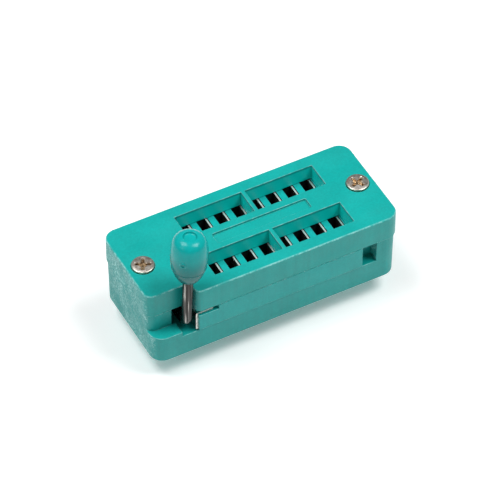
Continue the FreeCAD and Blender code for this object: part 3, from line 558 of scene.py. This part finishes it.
def knob_profile():
    """(radius, height) pairs in mm, from the rod's hole in the bottom up the side and
    over the crown to the middle of the dimple."""
    hole = 0.74
    hole_depth = 0.5
    chamfer = 0.05
    points = [(0.0, -KNOB_BOTTOM + hole_depth), (hole, -KNOB_BOTTOM + hole_depth),
              (hole, -KNOB_BOTTOM + chamfer), (hole + chamfer, -KNOB_BOTTOM)]

    corner = 0.14
    foot = knob_side(-KNOB_BOTTOM) - corner
    points.append((foot, -KNOB_BOTTOM))
    for sine, cosine in quarter_turn(4):
        points.append((foot + corner * sine, -KNOB_BOTTOM + corner * (1 - cosine)))

    steps = 120
    low = -KNOB_BOTTOM + corner
    for step in range(1, steps + 1):
        height = low + (KNOB_SHOULDER - low) * step / steps
        points.append((knob_side(height), height))

    # Shoulder: a curve that leaves along the side and arrives nearly level
    edge = knob_side(KNOB_SHOULDER)
    nudge = 0.01
    slope = (edge - knob_side(KNOB_SHOULDER - nudge)) / nudge
    rise = KNOB_CROWN - KNOB_SHOULDER
    lip_radius = 0.97
    first = Vector((edge, KNOB_SHOULDER))
    leave = first + Vector((slope, 1.0)) * rise / 2
    last = Vector((lip_radius, KNOB_CROWN))
    arrive = last + Vector((0.45, -0.05))
    curve_steps = 20
    for step in range(1, curve_steps + 1):
        along = step / curve_steps
        back = 1 - along
        place = back ** 3 * first + 3 * back ** 2 * along * leave
        place += 3 * back * along ** 2 * arrive + along ** 3 * last
        points.append((place.x, place.y))

    dimple = 0.9
    floor = KNOB_CROWN - 0.32
    lip = lip_radius - dimple
    cove = 0.2
    taper = 0.02
    for sine, cosine in quarter_turn(5):
        points.append((dimple + lip * (1 - sine), KNOB_CROWN - lip * (1 - cosine)))
    for sine, cosine in quarter_turn(6):
        points.append((dimple - taper - cove * (1 - cosine), floor + cove * (1 - sine)))
    points += [(0.4, floor - 0.01), (0.0, floor - 0.02)]
    return points


def make_knob(material):
    """Barrel-shaped knob turned about the lever's upright, with a dimpled crown, the
    parting ring of its mould, and the small round mark where it was filled."""
    segments = 224
    builder = bmesh.new()
    skin(builder, [even_ring(builder, *point, segments) for point in knob_profile()])
    ring_height = -1.8
    mark_way = Vector((-0.728, -0.684, 0.0))
    beside_mark = Vector((0.684, -0.728, 0.0))
    mark_height = 0.4
    mark_radius = 0.34
    crown_radius = 1.3
    foot_height = -KNOB_BOTTOM + 0.3
    for vertex in builder.verts:
        place = vertex.co
        flat = Vector((place.x, place.y, 0.0))
        if flat.length < crown_radius or place.z < foot_height:
            continue
        outward = flat.normalized()
        along = math.atan2(place.dot(beside_mark), place.dot(mark_way)) * flat.length
        apart = math.hypot(along, place.z - mark_height)
        swell = 0.09 * bell(apart - mark_radius, 0.09) - 0.05 * bell(apart, 0.2)
        swell += 0.05 * bell(place.z - ring_height, 0.07)
        swell += 0.012 * noise.noise(place / 2)
        vertex.co = place + outward * swell
    pivot = Vector(joint_named("lever_turn")["pos_m"])
    low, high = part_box("lever_knob")
    pivot.y = (low.y + high.y) / 2
    upright = Matrix.Rotation(LEVER_LEAN, 4, "Y")
    for vertex in builder.verts:
        risen = (vertex.co + UP * KNOB_WAIST) * MM
        vertex.co = pivot + upright @ risen
    knob = new_piece("moulded_knob", builder, material, "lever")
    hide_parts("lever_knob")


def joint_named(name):
    return [joint for joint in frame["joints"] if joint["name"] == name][0]


# Screw, in mm. Heights are from the underside of its head.
SCREW_SEGMENTS = 112
HEAD_RADIUS = 1.5
HEAD_CORNER = 0.12
HEAD_HEIGHT = 0.9
CROWN_DROP = 0.144


def cross_depth(across, along):
    """Depth of the cross recess: four arms with sloped walls and ends, and a cone where
    they meet."""
    arm_half_width, arm_taper, wall_slope = 0.29, 0.06, 4.0
    arm_length, end_slope, arm_depth = 1.08, 1.9, 0.5
    cone_radius, cone_slope, floor_depth = 0.66, 1.5, 0.62
    arm = max(abs(across), abs(along))
    side = min(abs(across), abs(along))
    walls = (arm_half_width - arm_taper * arm - side) * wall_slope
    ends = (arm_length - arm) * end_slope
    arms = min(walls, ends, arm_depth)
    cone = (cone_radius - math.hypot(across, along)) * cone_slope
    return max(0.0, min(max(arms, cone), floor_depth))


def crown_height(x, y):
    """Height of the domed crown, less the cross recess in it."""
    dome = CROWN_DROP * (math.hypot(x, y) / HEAD_RADIUS) ** 2
    return HEAD_HEIGHT - dome - cross_depth(x, y)


def head_side():
    """(radius, height) pairs from the crown's edge over the rim to the neck."""
    edge = HEAD_RADIUS - HEAD_CORNER
    rim = HEAD_HEIGHT - CROWN_DROP * (edge / HEAD_RADIUS) ** 2
    chamfer = 0.05
    points = [(edge + HEAD_CORNER * sine, rim - HEAD_CORNER * (1 - cosine))
              for sine, cosine in quarter_turn(5)]
    points += [(HEAD_RADIUS, rim - HEAD_CORNER - chamfer), (HEAD_RADIUS, chamfer),
               (HEAD_RADIUS - chamfer, 0.0), (0.85, 0.0), (0.72, -0.1)]
    return points


def thread_radius(angle, height, tip):
    """Radius of the shank: a thread that fades in below the neck and ends in a point."""
    pitch, core, thread = 0.6, 0.60, 0.14
    start, fade_length, point_length, least = -0.16, 0.5, 1.1, 0.04
    phase = (height / pitch - angle / (2 * math.pi)) % 1.0
    ridge = 1 - abs(2 * phase - 1)
    fade_in = ease((start - height) / fade_length)
    radius = core + thread * ease(ridge) * fade_in
    return max(least, radius * math.sqrt(ease((height - tip) / point_length)))


def make_screw(node, turn, material):
    """Pan-head screw with a pressed cross recess and a threaded, pointed shank."""
    low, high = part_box(node)
    tip = (low.z - high.z) / MM + HEAD_HEIGHT
    builder = bmesh.new()
    rings = [[builder.verts.new((0, 0, crown_height(0, 0)))]]
    crown_rings = 46
    for index in range(1, crown_rings + 1):
        reach = (HEAD_RADIUS - HEAD_CORNER) * index / crown_rings
        rings.append(shaped_ring(builder, lambda angle: reach, crown_height, SCREW_SEGMENTS))
    for point in head_side():
        rings.append(even_ring(builder, *point, SCREW_SEGMENTS))
    shank_rings = 96
    neck = -0.16
    for index in range(shank_rings + 1):
        height = neck + (tip - neck) * index / shank_rings
        rings.append(shaped_ring(
            builder, lambda angle: thread_radius(angle, height, tip),
            lambda x, y: height, SCREW_SEGMENTS))
    rings.append([builder.verts.new((0, 0, tip))])
    skin(builder, rings)

    spin = Matrix.Rotation(math.radians(turn), 4, "Z")
    seat = Vector(((low.x + high.x) / 2, (low.y + high.y) / 2, high.z - HEAD_HEIGHT * MM))
    for vertex in builder.verts:
        vertex.co = seat + spin @ (vertex.co * MM)
    screw = new_piece("detailed_" + node, builder, material, "root")
    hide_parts(node)


def make_floor():
    """Pale table, level with the solder tails' tips."""
    builder = bmesh.new()
    bmesh.ops.create_grid(builder, x_segments=8, y_segments=8, size=0.6)
    mesh = bpy.data.meshes.new("floor")
    builder.to_mesh(mesh)
    builder.free()
    floor = bpy.data.objects.new("floor", mesh)
    floor.location.z = cad_low.z - 0.01 * MM
    bpy.context.scene.collection.objects.link(floor)
    n = Nodes("floor_paint")
    mottle = n.noise(30 * MM, detail=2)
    paint = n.ramp(mottle, "Fac", [(0.3, grey(0.95)), (0.7, grey(0.97))])
    n.join(paint, "Color", n.shader, "Base Color")
    n.set(Roughness=0.8, Emission_Color=(1, 1, 1, 1), Emission_Strength=0.17)
    mesh.materials.append(n.material)


def area_light(name, place, aim, size, power):
    """Square soft light at place that points at aim."""
    data = bpy.data.lights.new(name, "AREA")
    data.shape = "SQUARE"
    data.size = size
    data.energy = power
    light = bpy.data.objects.new(name, data)
    light.location = place
    light.rotation_mode = "QUATERNION"
    light.rotation_quaternion = (aim - place).to_track_quat("-Z", "Y")
    bpy.context.scene.collection.objects.link(light)


def make_lights():
    """White tent, two softboxes high on either side of the camera, and one by the end."""
    world = bpy.data.worlds.new("tent")
    world.use_nodes = True
    backdrop = world.node_tree.nodes["Background"]
    backdrop.inputs["Color"].default_value = (1, 1, 1, 1)
    backdrop.inputs["Strength"].default_value = 0.16
    bpy.context.scene.world = world
    bpy.context.scene.view_settings.view_transform = "Standard"
    middle = (cad_low + cad_high) / 2
    left = middle + Vector((-0.187, 0.110, 0.5005))
    right = middle + Vector((0.209, -0.1485, 0.484))
    end = middle + Vector((-0.44, -0.06, 0.36))
    area_light("left_box", left, middle, 0.24, 1.75)
    area_light("right_box", right, middle, 0.24, 2.0)
    area_light("end_box", end, middle, 0.20, 0.28)


make_camera()
materials = make_materials()
dress_cad_nodes(materials)
make_knob(materials["knob_plastic"])
make_screw("cover_screw_left", -28.0, materials["screw_steel"])
make_screw("cover_screw_right", 24.0, materials["screw_steel"])
make_floor()
make_lights()
